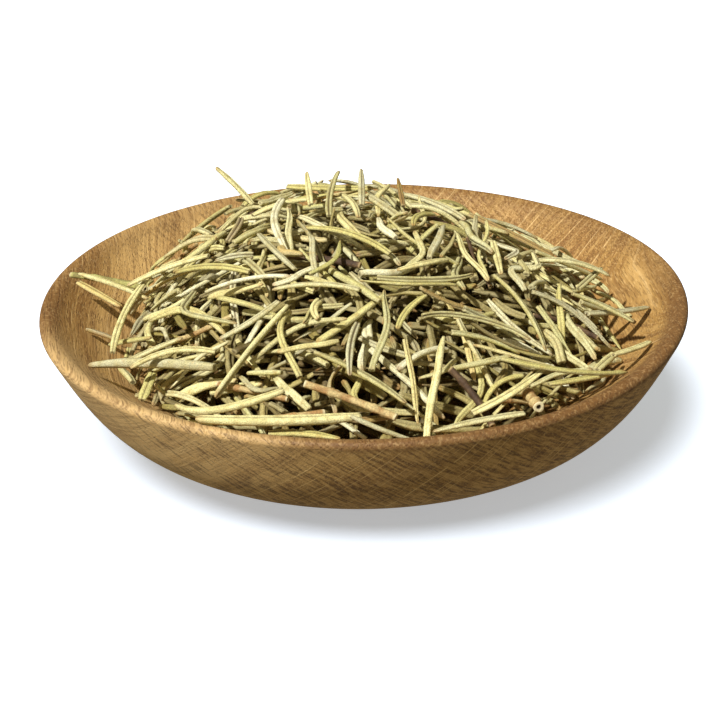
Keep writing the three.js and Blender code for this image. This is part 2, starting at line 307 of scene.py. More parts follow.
def wood_material():
    """Open-grained light brown wood. Its fibres run along the board, and its growth rings lie in
    slanting layers that hold the fibres and bend more towards the back. Where the surface cuts
    across the fibres it is hatched by the rays, which cross the rings. The front left, where the key
    light falls, is painted paler as painted light. The rim is painted darker as painted shade, most
    at the front."""
    material, tree, shader = new_material("dish_wood")
    place = node(tree, "ShaderNodeTexCoord").outputs["Object"]
    normal = node(tree, "ShaderNodeNewGeometry").outputs["Normal"]
    sideways, backwards, height = node(tree, "ShaderNodeSeparateXYZ", {0: place}).outputs

    # How far a point lies through the layers, with their bend and their unevenness.
    bend = times(tree, step(tree, backwards, 20 * MM, 90 * MM), RING_BEND)
    wander = times_plus(tree, noise(tree, place, 18), RING_WANDER, -RING_WANDER / 2)
    depth = times_plus(tree, sideways, bend, reach_along(tree, THROUGH_RINGS, place))
    depth = calc(tree, "ADD", depth, wander)

    grain = grain_noise(tree, place, depth)
    layers = grain(30, 1500, 90, detail=3, roughness=0.6)
    rays = grain(200, 230, 1900)
    pores = step(tree, grain(260, 2900, 2900), 0.52, 0.68)
    along_fibre = calc(tree, "ABSOLUTE", reach_along(tree, FIBRE, normal))
    end_grain = step(tree, along_fibre, 0.30, 0.70)
    long_grain = calc(tree, "SUBTRACT", 1.0, end_grain)
    # Painted light: a paler patch on the front left, where the key light falls.
    toward_painted_light = calc(tree, "ADD", reach_along(tree, TOWARD_PAINTED_LIGHT, place), wander)
    painted_light_patch = step(tree, toward_painted_light, 50 * MM, 64 * MM)
    masks = {
        "painted_light_patch": painted_light_patch,
        "bands": step(tree, grain(14, 160, 40), 0.42, 0.66),
        "pores": times(tree, pores, long_grain),
        "end_grain": end_grain,
        "dots": step(tree, grain(420, 3000, 3000), 0.54, 0.68),
        "ring_lines": ring_lines(tree, grain, depth),
        **grain_masks(tree, layers, rays, depth, end_grain),
        **rim_masks(tree, place, backwards, height, painted_light_patch),
    }
    body = ramp(tree, noise(tree, place, 34, 3), WOOD_BROWNS)
    for name, (strength, colour) in WOOD_TINTS.items():
        body = tint(tree, body, masks[name], strength, colour)

    roughness = times_plus(tree, pores, 0.16, 0.66)
    relief = times_plus(tree, pores, -1.0, times(tree, layers, 0.8))
    relief = times_plus(tree, rays, 0.6, relief)
    finish_shader(tree, shader, body, roughness, relief, 0.12 * MM)
    return material


YELLOW = rgb(236, 226, 164)
PALE = rgb(242, 236, 200)
STRAW = rgb(224, 211, 148)
OLIVE = rgb(200, 190, 118)
GREEN = rgb(182, 176, 108)
GREY = rgb(206, 200, 160)
DARK = rgb(138, 124, 80)
ORANGE = rgb(218, 192, 124)
BROWN = rgb(146, 116, 68)
FELT = rgb(206, 202, 168)

# A leaf's colour by a number of its own, from 0 to 1.
LEAF_SCALE = [
    (0.00, YELLOW),
    (0.12, OLIVE),
    (0.24, PALE),
    (0.36, GREEN),
    (0.46, YELLOW),
    (0.56, STRAW),
    (0.66, OLIVE),
    (0.74, GREY),
    (0.82, DARK),
    (0.91, YELLOW),
    (0.97, ORANGE),
    (1.00, BROWN),
]

# Where the finish of each single leaf lies on that scale.
LEAF_COLOURS = {
    "leaf_yellow": 0.01,
    "leaf_olive": 0.66,
    "leaf_grey_green": 0.74,
    "leaf_orange": 0.97,
    "leaf_brown": 1.00,
}

# Painted shade: how much light is taken to reach the leaves on the heap, those between them and
# those deep inside, multiplied into their colour.
TOP_LIGHT = (0.98, 0.98, 0.94, 1)
LOW_LIGHT = (0.54, 0.49, 0.36, 1)
DEEP_LIGHT = (0.24, 0.19, 0.11, 1)


def slim_facts(tree):
    """A slim mesh's leaf_facts at each point: a number that is the piece's own, how far along it
    the point lies, how deep in a groove or hollow, and 1 under a leaf or on a stalk's cut."""
    facts = node(tree, "ShaderNodeAttribute", attribute_name="leaf_facts")
    parts = node(tree, "ShaderNodeSeparateColor", {0: facts.outputs["Color"]})
    return (*parts.outputs, facts.outputs["Alpha"])


def leaf_material(name, light):
    """Dried leaf: grooved, blotched and finely pebbled, and felted underneath. Its colour is
    multiplied by a share of light as painted shade, and its groove is darkened as painted shade.
    """
    material, tree, shader = new_material(name)
    own, along, groove, underneath = slim_facts(tree)
    place = node(tree, "ShaderNodeTexCoord").outputs["Object"]
    upper = ramp(tree, own, LEAF_SCALE)
    body = mix(tree, underneath, upper, mix(tree, 0.40, upper, FELT))

    blotches = step(tree, noise(tree, place, 380, 3), 0.44, 0.64)
    body = tint(tree, body, blotches, 0.40, rgb(170, 154, 86))
    freckles = step(tree, noise(tree, place, 900, 3, 0.6), 0.54, 0.68)
    body = tint(tree, body, freckles, 0.32, rgb(170, 130, 66))
    pebbles = noise(tree, place, 3600, 2, 0.6)
    shade = times_plus(tree, step(tree, pebbles, 0.34, 0.66), 0.52, 0.83)
    body = shaded(tree, body, shade)
    # Painted shade: the colour multiplied by the light taken to reach this leaf where it lies in the
    # heap.
    body = mix(tree, 1.0, body, light, "MULTIPLY")

    # A browner tip, a paler base, and painted shade along the groove.
    body = tint(tree, body, step(tree, along, 0.90, 1.0), 0.55, rgb(164, 116, 60))
    body = tint(tree, body, step(tree, along, 0.07, 0.0), 0.5, rgb(204, 190, 138))
    body = tint(tree, body, groove, 0.85, rgb(74, 54, 24))
    finish_shader(tree, shader, body, 0.62, pebbles, 0.24 * MM)
    return material


# By finish: a bark's name, its colour, its patches' colour and its cut ends'.
BARKS = {
    "stalk_dark": ("dark_bark", rgb(74, 54, 36), rgb(106, 82, 54), rgb(176, 150, 104)),
    "stalk_pale": ("pale_bark", rgb(206, 182, 124), rgb(172, 132, 80), rgb(226, 212, 166)),
    "leaf_olive": ("green_bark", rgb(176, 170, 100), rgb(140, 130, 76), rgb(206, 190, 140)),
}


def stalk_material(name, bark, patch, cut):
    """Dried stalk: bark with patches, the wood of its cut ends, and painted shade in the hollows of
    its ends.
    """
    material, tree, shader = new_material(name)
    _, along, hollow, on_cut = slim_facts(tree)
    place = node(tree, "ShaderNodeTexCoord").outputs["Object"]
    patches = step(tree, noise(tree, place, 350, 3), 0.40, 0.62)
    body = mix(tree, patches, bark, patch)
    fine = noise(tree, place, 2600, 3, 0.65)
    shade = times_plus(tree, step(tree, fine, 0.30, 0.70), 0.5, 0.68)
    body = shaded(tree, body, shade)
    ends = calc(tree, "ABSOLUTE", times_plus(tree, along, 2.0, -1.0))
    body = mix(tree, step(tree, ends, 0.93, 1.0), body, cut)
    body = mix(tree, on_cut, body, cut)
    # Painted shade: a dark brown in the hollow where the pith has shrunk back.
    body = mix(tree, hollow, body, rgb(58, 38, 24))
    finish_shader(tree, shader, body, 0.72, fine, 0.2 * MM)
    return material


# ---- objects ----


def add_object(name, data):
    added = bpy.data.objects.new(name, data)
    bpy.context.scene.collection.objects.link(added)
    return added


def add_piece(name, vertices, faces, material, replaced, facts=None, places=None):
    """A piece that rides on the part, takes its finish from a slot and stands for a CAD node. A
    slim one also has facts for its vertices and texture places for its face corners."""
    mesh = bpy.data.meshes.new(name)
    mesh.from_pydata(vertices.tolist(), [], faces)
    mesh.materials.append(material)
    mesh.polygons.foreach_set("use_smooth", [len(face) == 4 for face in faces])
    if facts is not None:
        attribute = mesh.attributes.new("leaf_facts", "FLOAT_COLOR", "POINT")
        attribute.data.foreach_set("color", facts.astype(np.float32).ravel())
        layer = mesh.uv_layers.new(name="OFBake")
        layer.uv.foreach_set("vector", places.astype(np.float32).ravel())
    mesh.update()
    piece = add_object(name, mesh)
    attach(piece, "root")
    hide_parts(replaced)
    return piece


# ---- the dish ----

WALL_POINTS = 34
ROLL_POINTS = 13
LIP_POINTS = 8
BOWL_POINTS = 32
DISH_SEGMENTS = 240

# How far the hand-finished rim is out of true.
OVAL_SHARE = 0.004
UNEVEN_SHARE = 0.002
RIM_RISE = 0.25 * MM


def inner_height(radius):
    """Height of the dish at a distance from its axis: its inside, its lip and its rim's roll."""
    bowl = FLOOR_THICKNESS + BOWL_DEPTH * (radius / BOWL_RADIUS) ** BOWL_POWER
    lip = DISH_HEIGHT - LIP_DROP * ((ROLL_RADIUS - radius) / LIP_WIDTH) ** 2
    across = np.clip(radius - ROLL_RADIUS, 0, RIM_ROLL)
    roll = ROLL_HEIGHT + np.sqrt(RIM_ROLL**2 - across**2)
    return np.where(radius < BOWL_RADIUS, bowl, np.where(radius < ROLL_RADIUS, lip, roll))


def dish_profile():
    """(distance from the axis, height) from the middle of the foot, round the rim, to the middle
    of the inside."""
    lean = np.array([math.sin(WALL_LEAN), math.cos(WALL_LEAN)])
    wall_foot = np.array([FOOT_RADIUS, FOOT_EDGE])
    wall_top = np.array([ROLL_RADIUS + RIM_ROLL * lean[1], ROLL_HEIGHT - RIM_ROLL * lean[0]])
    wall_ends = np.array(
        [wall_foot, wall_foot + (WALL_OUT, WALL_UP), wall_top - WALL_DOWN * lean, wall_top]
    )
    share = np.linspace(0, 1, WALL_POINTS)[:, None]
    weights = [math.comb(3, k) * share**k * (1 - share) ** (3 - k) for k in range(4)]
    wall = np.hstack(weights) @ wall_ends
    turn = np.linspace(-WALL_LEAN, math.pi / 2, ROLL_POINTS + 1)[1:]
    roll = np.column_stack(
        [ROLL_RADIUS + RIM_ROLL * np.cos(turn), ROLL_HEIGHT + RIM_ROLL * np.sin(turn)]
    )
    lip = np.linspace(ROLL_RADIUS, BOWL_RADIUS, LIP_POINTS + 1)[1:]
    bowl = np.linspace(BOWL_RADIUS, 0, BOWL_POINTS + 2)[1:-1]
    radii = np.concatenate([lip, bowl])
    inside = np.column_stack([radii, inner_height(radii)])
    foot = np.array([(FOOT_RADIUS * 0.5, 0), (FOOT_RADIUS - FOOT_EDGE, 0)])
    return np.vstack([foot, wall, roll, inside])


def build_dish(material):
    """The turned dish. Its rim is slightly out of true, as on a hand-finished piece."""
    profile = dish_profile()
    angles = np.linspace(0, 2 * math.pi, DISH_SEGMENTS, endpoint=False)
    radius, height = profile.T[:, :, None]
    near_rim = (radius / RIM_RADIUS) ** 4 * (height / DISH_HEIGHT)
    oval = OVAL_SHARE * near_rim * np.sin(2 * angles + 0.6)
    out = 1 + oval + UNEVEN_SHARE * near_rim * np.sin(5 * angles)
    rise = RIM_RISE * near_rim * np.sin(3 * angles + 1.0)
    x, y = radius * out * np.cos(angles), radius * out * np.sin(angles)
    rings = np.stack([x, y, height + rise], axis=-1)
    vertices = np.vstack([rings.reshape(-1, 3), [(0, 0, 0), (0, 0, FLOOR_THICKNESS)]])
    pairs = [(a, (a + 1) % DISH_SEGMENTS) for a in range(DISH_SEGMENTS)]
    last = (len(profile) - 1) * DISH_SEGMENTS
    foot_middle, floor_middle = len(vertices) - 2, len(vertices) - 1
    faces = []
    for ring in range(0, last, DISH_SEGMENTS):
        ahead = ring + DISH_SEGMENTS
        faces += [(ring + a, ring + b, ahead + b, ahead + a) for a, b in pairs]
    faces += [(foot_middle, b, a) for a, b in pairs]
    faces += [(last + a, last + b, floor_middle) for a, b in pairs]
    piece = add_piece("dish_turned", vertices, faces, material, "dish")
    piece.data.polygons.foreach_set("use_smooth", [True] * len(faces))


# ---- the heap's surface ----


def heap_height(x, y):
    """Height of the heap's smooth surface over a plan position, and 0 outside the heap."""
    from_x = x - HEAP_CENTRE[0]
    from_y = y - HEAP_CENTRE[1]
    angle = np.arctan2(from_y, from_x)
    lobes = np.cos(3 * angle + 0.7) - np.cos(2 * angle)
    edge = HEAP_RADIUS + HEAP_SKEW * np.cos(angle) + HEAP_LOBE * lobes
    share = np.hypot(from_x, from_y) / edge
    edge_x = HEAP_CENTRE[0] + edge * np.cos(angle)
    edge_y = HEAP_CENTRE[1] + edge * np.sin(angle)
    foot = inner_height(np.hypot(edge_x, edge_y)) + HEAP_EDGE_HEIGHT
    roundness = HEAP_ROUNDNESS - HEAP_EXTRA_ROUNDNESS * np.cos(angle)
    surface = HEAP_TOP - (HEAP_TOP - foot) * np.minimum(share, 1) ** roundness
    return np.where(share < 1, surface, 0)


# ---- slim pieces: leaves and bits of stalk ----


def leaf_section(left_over, top, right_under, bottom):
    """A leaf's section, once round from its left edge, over the top and back underneath, as
    (across, up, groove depth). It is the same on its left and its right."""

    def mirrored(points):
        return [(-across, up, groove) for across, up, groove in reversed(points)]

    over = [*left_over, top, *mirrored(left_over)]
    return np.array([*over, *right_under, *bottom, *mirrored(right_under)])


# A leaf has a groove along its top, and its margins are rolled under, with a groove between them.
LEAF_SECTION = leaf_section(
    left_over=[(-1, 0, 0.2), (-0.86, 0.5, 0), (-0.46, 0.84, 0), (-0.13, 0.7, 0.3)],
    top=(0, 0.5, 1),
    right_under=[(0.82, -0.6, 0), (0.36, -0.84, 0.2), (0.1, -0.2, 1)],
    bottom=[],
)
HIDDEN_LEAF_SECTION = leaf_section(
    left_over=[(-1, 0, 0), (-0.6, 0.8, 0)],
    top=(0, 0.6, 1),
    right_under=[(0.5, -0.8, 0)],
    bottom=[(0, -0.3, 1)],
)
# How far a groove is filled on a leaf that has none, as a share of its half thickness.
GROOVE_DEPTH = 0.3
STALK_CORNERS = 12
LEAF_PLACES = np.array(
    [0, 0.03, 0.10, 0.19, 0.28, 0.37, 0.46, 0.55, 0.64, 0.73, 0.82, 0.90, 0.96, 0.99, 1]
)
HIDDEN_LEAF_PLACES = np.linspace(0, 1, 7)

# The steps that a line is summed in, and how far on and back along it its direction is taken.
PLAN_STEPS = 60
NUDGE = 0.01


def stalk_section():
    turn = -2 * np.pi * np.arange(STALK_CORNERS) / STALK_CORNERS + np.pi
    ridges = 1 + 0.06 * np.cos(3 * turn)
    return np.column_stack([ridges * np.cos(turn), ridges * np.sin(turn), 0 * turn])


def smooth_step(value, low, high):
    share = np.clip((value - low) / (high - low), 0, 1)
    return share * share * (3 - 2 * share)


def leaf_taper(places, base_share, tip_share):
    """Share of a leaf's full width at places from 0, its base, to 1, its tip."""
    places = places[None, :]
    to_base = 1 - smooth_step(places, 0, 0.18)
    to_tip = smooth_step(places, 0.62, 1)
    share = 1 - (1 - base_share[:, None]) * to_base - (1 - tip_share[:, None]) * to_tip
    rounding = np.sqrt(np.clip(1 - smooth_step(places, 0.95, 1.0) ** 2 * 0.8, 0, 1))
    return share * rounding


def plan_lines(shapes, places):
    """Each piece's middle line seen from above, in its own frame: centred, with its chord along
    X. Gives the distances along and to the side."""
    fine = np.linspace(0, 1, PLAN_STEPS + 1)[None, :]
    low = (shapes["bend_at"] - shapes["bend_reach"])[:, None]
    high = (shapes["bend_at"] + shapes["bend_reach"])[:, None]
    direction = shapes["turn"][:, None] * smooth_step(fine, low, high)
    direction = direction + shapes["waver"][:, None] * np.sin(2 * np.pi * fine)
    pace = shapes["length"][:, None] / PLAN_STEPS
    x = np.cumsum(np.cos(direction), axis=1) * pace
    y = np.cumsum(np.sin(direction), axis=1) * pace
    chord = np.arctan2(y[:, -1] - y[:, 0], x[:, -1] - x[:, 0])[:, None]
    x = x - x.mean(axis=1, keepdims=True)
    y = y - y.mean(axis=1, keepdims=True)
    along = x * np.cos(chord) + y * np.sin(chord)
    side = y * np.cos(chord) - x * np.sin(chord)
    position = places * PLAN_STEPS
    before = np.clip(position.astype(int), 0, PLAN_STEPS - 1)
    rest = position - before
    along = along[:, before] * (1 - rest) + along[:, before + 1] * rest
    side = side[:, before] * (1 - rest) + side[:, before + 1] * rest
    return along, side


def arches(shapes, places):
    """How far each piece's middle line arches up at its places."""
    return shapes["arch"][:, None] * (1 - (2 * places[None, :] - 1) ** 2)


def middle_lines(shapes, places):
    """Each laid piece's middle line in space, as an array of pieces by places by 3."""
    along, side = plan_lines(shapes, places)
    cosine = np.cos(shapes["heading"])[:, None]
    sine = np.sin(shapes["heading"])[:, None]
    x = shapes["x"][:, None] + along * cosine - side * sine
    y = shapes["y"][:, None] + along * sine + side * cosine
    z = shapes["z"][:, None] + along * shapes["slope"][:, None] + arches(shapes, places)
    return np.stack([x, y, z], axis=-1)


# A loose leaf's usual length and half width in millimetres, with their spreads, and the shares of
# the leaves that are hooked, that bend in one short stretch and that lie underside up.
LENGTH_MM, LENGTH_SPREAD_MM = 18.5, 5
HALF_WIDTH_MM, HALF_WIDTH_SPREAD_MM = 0.75, 0.14
NARROWEST_MM, WIDEST_MM = 0.45, 1.05
HOOKED_SHARE = 0.20
SHARP_BEND_SHARE = 0.45
UNDERSIDE_UP_SHARE = 0.42


def leaf_shapes(count, shortest=8 * MM, longest=27 * MM, girth=1.0):
    """Random leaves: mostly slim and nearly straight, some hooked, some wavy, some broken short.
    Girth widens them all. Angles are in radians."""
    length = rng.normal(LENGTH_MM, LENGTH_SPREAD_MM, count)
    hooked = rng.random(count) < HOOKED_SHARE
    turn = rng.normal(0, 0.42, count)
    turn = np.where(hooked, rng.choice([-1, 1], count) * rng.uniform(0.7, 1.7, count), turn)
    sharp = rng.random(count) < SHARP_BEND_SHARE
    reach = np.where(sharp, rng.uniform(0.08, 0.2, count), rng.uniform(0.4, 0.8, count))
    underside_up = rng.random(count) < UNDERSIDE_UP_SHARE
    half_width = rng.normal(HALF_WIDTH_MM, HALF_WIDTH_SPREAD_MM, count)
    half_width = np.clip(half_width, NARROWEST_MM, WIDEST_MM) * girth * MM
    length = np.clip(length, shortest / MM, longest / MM) * MM
    return {
        "length": length,
        "half_width": half_width,
        "half_thickness": half_width * rng.uniform(0.62, 0.92, count),
        "turn": turn,
        "bend_at": rng.uniform(0.25, 0.75, count),
        "bend_reach": reach,
        "waver": rng.normal(0, 0.22, count),
        "arch": rng.normal(0.3, 1.1, count) * length / 16,
        "roll": rng.normal(0, 0.6, count) + np.where(underside_up, np.pi, 0),
        "twist": rng.normal(0, 0.8, count),
        "base_share": rng.uniform(0.60, 1.0, count),
        "tip_share": rng.uniform(0.45, 1.0, count),
        "grooved": rng.uniform(0.1, 1.0, count),
        "own": rng.random(count),
        **{name: np.zeros(count) for name in ("tilt", "x", "y", "z", "slope", "heading")},
    }


def tilted(shapes, spread):
    """The same shapes, each to be held out of its resting slope by the leaves around it."""
    return shapes | {"tilt": rng.normal(0, spread, len(shapes["tilt"]))}


def stalk_shapes(count):
    """Random bits of stalk: shorter and straighter than the leaves, and round."""
    shapes = leaf_shapes(count, 4 * MM, 16 * MM)
    shapes["half_width"] = rng.uniform(0.4, 0.8, count) * MM
    shapes["half_thickness"] = shapes["half_width"]
    shapes["turn"] = rng.normal(0, 0.2, count)
    shapes["arch"] = rng.normal(0, 0.2, count) * MM
    return shapes


def pick(shapes, chosen):
    return {name: values[chosen] for name, values in shapes.items()}


def join(parts):
    return {name: np.concatenate([part[name] for part in parts]) for name in parts[0]}


# ---- dropping the leaves into the dish ----

# The heights already reached are kept on a grid of square cells, and places are picked by blocks
# of cells. A leaf is rested on the grid at some places along it, and then covers it at others.
CELL = 0.4 * MM
CELLS = 360
BLOCK = 8
SIDE_BLOCKS = CELLS // BLOCK
SUPPORT_PLACES = np.linspace(0, 1, 22)
COVER_PLACES = np.linspace(0, 1, 56)
FAR_UP, FAR_DOWN = 1.0, -1.0

# A layer is full when little room is left, as measured anew after every few leaves.
MOST_ROOM = 8 * MM
LEAST_ROOM = 0.3 * MM
LEAVES_PER_MEASURE = 10

# A leaf's place is judged by a height: what each fault adds to it, and what is too much.
OVERSHOOT_WEIGHT = 2
SLOPE_COST = 0.5 * MM
BLOCKED_COST = 1.0
TOO_HIGH = 6 * MM
STEEPEST = 1.3

# A leaf tilted out of its resting slope is raised by this share of what the tilt lowers its end.
HELD_UP = 0.45


def cell_of(distance):
    return np.clip((distance / CELL + CELLS / 2).astype(int), 0, CELLS - 1)


def reaches(shapes):
    """How far a rolled piece reaches sideways and upwards from its middle line."""
    width, thickness, roll = shapes["half_width"], shapes["half_thickness"], shapes["roll"]
    sideways = np.hypot(width * np.cos(roll), thickness * np.sin(roll))
    upwards = np.hypot(width * np.sin(roll), thickness * np.cos(roll))
    return sideways, upwards


def cover(surface, line, sideways, upwards):
    """Raises the surface to the top of a piece that lies along a line."""
    direction = np.gradient(line, axis=0)
    direction = direction / np.maximum(np.hypot(direction[:, 0], direction[:, 1]), 1e-9)[:, None]
    for offset in (-0.9, -0.6, -0.3, 0, 0.3, 0.6, 0.9):
        x = line[:, 0] - direction[:, 1] * sideways * offset
        y = line[:, 1] + direction[:, 0] * sideways * offset
        top = line[:, 2] + upwards * math.sqrt(1 - offset**2)
        np.maximum.at(surface, (cell_of(x), cell_of(y)), top)


def rest_on(surface, along, side, places, headings, sideways, upwards, arch):
    """Rests one piece at each of several plan positions. Of all the straight lines that touch
    the surface once behind its middle and once before it, it takes the highest."""
    cosine, sine = np.cos(headings)[:, None], np.sin(headings)[:, None]
    x = places[:, :1] + along * cosine - side * sine
    y = places[:, 1:] + along * sine + side * cosine
    need = np.full(x.shape, -1.0)
    for offset in (-0.75, 0, 0.75):
        ground = surface[
            cell_of(x - sine * sideways * offset),
            cell_of(y + cosine * sideways * offset),
        ]
        need = np.maximum(need, ground + upwards * math.sqrt(1 - offset**2))
    need = need - arch
    back, front = along < 0, along > 0
    apart = along[front][None, None, :] - along[back][None, :, None]
    slopes = (need[:, None, front] - need[:, back, None]) / apart
    heights = need[:, back, None] - slopes * along[back][None, :, None]
    flat = heights.reshape(len(places), -1)
    best = np.argmax(flat, axis=1)
    rows = np.arange(len(places))
    return flat[rows, best], slopes.reshape(len(places), -1)[rows, best], x, y


def block_odds(surface, ceiling):
    """The blocks' running odds, by the square of the room under the ceiling. None if it's full."""
    room = (ceiling - surface).reshape(SIDE_BLOCKS, BLOCK, SIDE_BLOCKS, BLOCK)
    room = np.clip(room.mean(axis=(1, 3)), 0, MOST_ROOM).ravel() ** 2
    if room.sum() < LEAST_ROOM**2:
        return None
    return np.cumsum(room) / room.sum()


def random_places(odds, tries):
    blocks = np.searchsorted(odds, rng.random(tries))
    corners = np.column_stack([blocks // SIDE_BLOCKS, blocks % SIDE_BLOCKS])
    places = corners + rng.random((tries, 2))
    return (places * BLOCK - CELLS / 2) * CELL


def fill(surface, ceiling, kept_under, shapes, tries):
    """Drops the shapes one by one, mostly where there is room under the ceiling, and each in the
    best of several tries: the one that stands lowest against the ceiling and slopes least. None
    may rise above kept_under. Gives the shapes laid, and raises the surface to cover them."""
    laid = []
    sideways, upwards = reaches(shapes)
    all_along, all_side = plan_lines(shapes, SUPPORT_PLACES)
    all_arches = arches(shapes, SUPPORT_PLACES)
    for number in range(len(shapes["x"])):
        if number % LEAVES_PER_MEASURE == 0:
            odds = block_odds(surface, ceiling)
        if odds is None:
            break
        places = random_places(odds, tries)
        headings = rng.uniform(0, 2 * np.pi, tries)
        along, side, arch = all_along[number], all_side[number], all_arches[number]
        height, slope, x, y = rest_on(
            surface, along, side, places, headings, sideways[number], upwards[number], arch
        )
        tilt = shapes["tilt"][number]
        slope = slope + tilt
        height = height + abs(tilt) * shapes["length"][number] / 2 * HELD_UP
        top = height[:, None] + slope[:, None] * along + arch + upwards[number]
        cells = cell_of(x), cell_of(y)
        over = top - ceiling[cells]
        blocked = (top > kept_under[cells]).any(axis=1) | (np.abs(slope) > STEEPEST)
        score = over.mean(axis=1) + OVERSHOOT_WEIGHT * np.clip(over.max(axis=1), 0, None)
        score = score + SLOPE_COST * np.abs(slope) + np.where(blocked, BLOCKED_COST, 0)
        best = int(np.argmin(score))
        if score[best] > TOO_HIGH:
            continue
        shapes["x"][number], shapes["y"][number] = places[best]
        shapes["heading"][number] = headings[best]
        shapes["z"][number] = height[best]
        shapes["slope"][number] = slope[best]
        laid.append(number)
        line = middle_lines(pick(shapes, [number]), COVER_PLACES)[0]
        cover(surface, line, sideways[number], upwards[number])
    return pick(shapes, laid)


# ---- meshes of slim pieces ----

# A mesh's texture is a grid of cells, so many across and so many up, one for each slim piece.
LEAF_CELLS = (4, 16)
HIDDEN_LEAF_CELLS = (8, 64)
ONE_CELL = (1, 1)
CELL_MARGIN = 0.05
END_STRIP = CELL_MARGIN * 0.3


def slim_mesh(stations, corners):
    """Faces of one slim piece, whose vertices are its rings and then its two end points, and the
    texture places of their corners in a unit cell: its length runs along the cell and its girth
    across it, with the two ends in strips beside them."""
    steps = np.linspace(CELL_MARGIN, 1 - CELL_MARGIN, stations)
    girth = np.linspace(CELL_MARGIN, 1 - CELL_MARGIN, corners + 1)
    faces, places = [], []
    for i in range(stations - 1):
        for j in range(corners):
            quad = [(i + a, j + b) for a, b in ((0, 0), (1, 0), (1, 1), (0, 1))]
            faces.append([ring * corners + corner % corners for ring, corner in quad])
            places += [(steps[ring], girth[corner]) for ring, corner in quad]
    first_end = (0, END_STRIP, (0, 1))
    last_end = (stations - 1, 1 - END_STRIP, (1, 0))
    for number, (ring, strip, order) in enumerate((first_end, last_end)):
        for j in range(corners):
            rim = [ring * corners + (j + b) % corners for b in order]
            faces.append([stations * corners + number, *rim])
            places.append((strip, (girth[j] + girth[j + 1]) / 2))
            places += [(steps[ring], girth[j + b]) for b in order]
    return faces, np.array(places)


def across_and_up(ahead):
    """Level and upright unit directions, square to the directions ahead."""
    ahead = ahead / np.linalg.norm(ahead, axis=-1, keepdims=True)
    sides = np.cross((0, 0, 1), ahead)
    sides = sides / np.linalg.norm(sides, axis=-1, keepdims=True)
    return sides, np.cross(ahead, sides)


def slim_piece(name, parts, section, cells, material, replaced):
    """One mesh of many slim pieces. parts holds their stations' places along them, and a function
    from places to points on their middle lines (pieces by places by 3), their rolls and half
    sizes (pieces by stations), the facts for each ring corner (stations by corners) and each
    piece's own number."""
    points_at, along = parts["points_at"], parts["along"]
    lines = points_at(along)
    count, stations = lines.shape[:2]
    corners = len(section)
    sides, ups = across_and_up(points_at(along + NUDGE) - points_at(along - NUDGE))
    cosine, sine = np.cos(parts["roll"])[..., None], np.sin(parts["roll"])[..., None]
    across = sides * cosine + ups * sine
    outward = ups * cosine - sides * sine
    wide = (section[:, 0] * parts["half_width"][..., None])[..., None]
    filled = np.sign(section[:, 1]) * section[:, 2] * GROOVE_DEPTH
    up = section[:, 1] + filled * (1 - parts["grooved"])[:, None, None]
    high = (up * parts["half_thickness"][..., None])[..., None]
    rings = lines[:, :, None] + across[:, :, None] * wide + outward[:, :, None] * high
    ends = lines[:, [0, -1]]
    vertices = np.concatenate([rings.reshape(count, -1, 3), ends], axis=1).reshape(-1, 3)

    facts = np.empty((count, stations * corners + 2, 4))
    facts[:, :, 0] = parts["own"][:, None]
    facts[:, :-2, 1] = np.repeat(along, corners)
    facts[:, -2:, 1] = (along[0], along[-1])
    facts[:, :-2, 2] = parts["groove"].ravel() * parts["grooved"][:, None]
    facts[:, :-2, 3] = parts["underside"].ravel()
    facts[:, -2:, 2] = (parts["groove"][0].max(), parts["groove"][-1].max())
    facts[:, -2:, 3] = 0.5

    one_faces, one_places = slim_mesh(stations, corners)
    faces = []
    for start in range(0, len(vertices), stations * corners + 2):
        faces += [[start + corner for corner in face] for face in one_faces]
    number = np.arange(count)
    origin = np.column_stack([number % cells[0], number // cells[0]])[:, None, :]
    places = (origin + one_places) / cells
    add_piece(name, vertices, faces, material, replaced, facts.reshape(-1, 4), places)


def leaf_facts(section, places):
    return {
        "along": places,
        "groove": np.tile(section[:, 2], (len(places), 1)),
        "underside": np.tile(np.clip(0.5 - 1.5 * section[:, 1], 0, 1), (len(places), 1)),
    }


def leaf_parts(shapes, section, places):
    """What slim_piece needs for leaves that were laid."""
    taper = leaf_taper(places, shapes["base_share"], shapes["tip_share"])
    ripple = np.sin(2 * np.pi * (places[None, :] * 2.3 + shapes["own"][:, None] * 7))
    return {
        "points_at": lambda at: middle_lines(shapes, at),
        "own": shapes["own"],
        "roll": shapes["roll"][:, None] + shapes["twist"][:, None] * (places[None, :] - 0.5),
        "half_width": shapes["half_width"][:, None] * taper * (1 + 0.05 * ripple),
        "half_thickness": shapes["half_thickness"][:, None] * taper,
        "grooved": shapes["grooved"],
        **leaf_facts(section, places),
    }


# A stalk's stations on its bark, with two knots: the place along it, and the share of its radius.
BARK_STATIONS = [
    (0.02, 1), (0.12, 0.95), (0.2, 0.98), (0.235, 1.18), (0.26, 1.22), (0.29, 1.02), (0.4, 0.94),
    (0.52, 0.96), (0.64, 0.95), (0.7, 1.15), (0.725, 1.2), (0.76, 0.98), (0.88, 0.94), (0.98, 0.96),
]

# All its stations, and also how deep in the hollow each is, and 1 on the cut. Each end is cut
# square, and its pith has shrunk back.
STALK_STATIONS = np.array(
    [
        (0.05, 0.36, 1, 1), (0.004, 0.42, 0.5, 1), (0, 0.52, 0, 1), (0, 0.9, 0, 1),
        (0.006, 1, 0, 0.4),
        *[(place, share, 0, 0) for place, share in BARK_STATIONS],
        (0.994, 0.94, 0, 0.4),
        (1, 0.85, 0, 1), (1, 0.5, 0, 1), (0.996, 0.4, 0.5, 1), (0.95, 0.34, 1, 1),
    ]
)


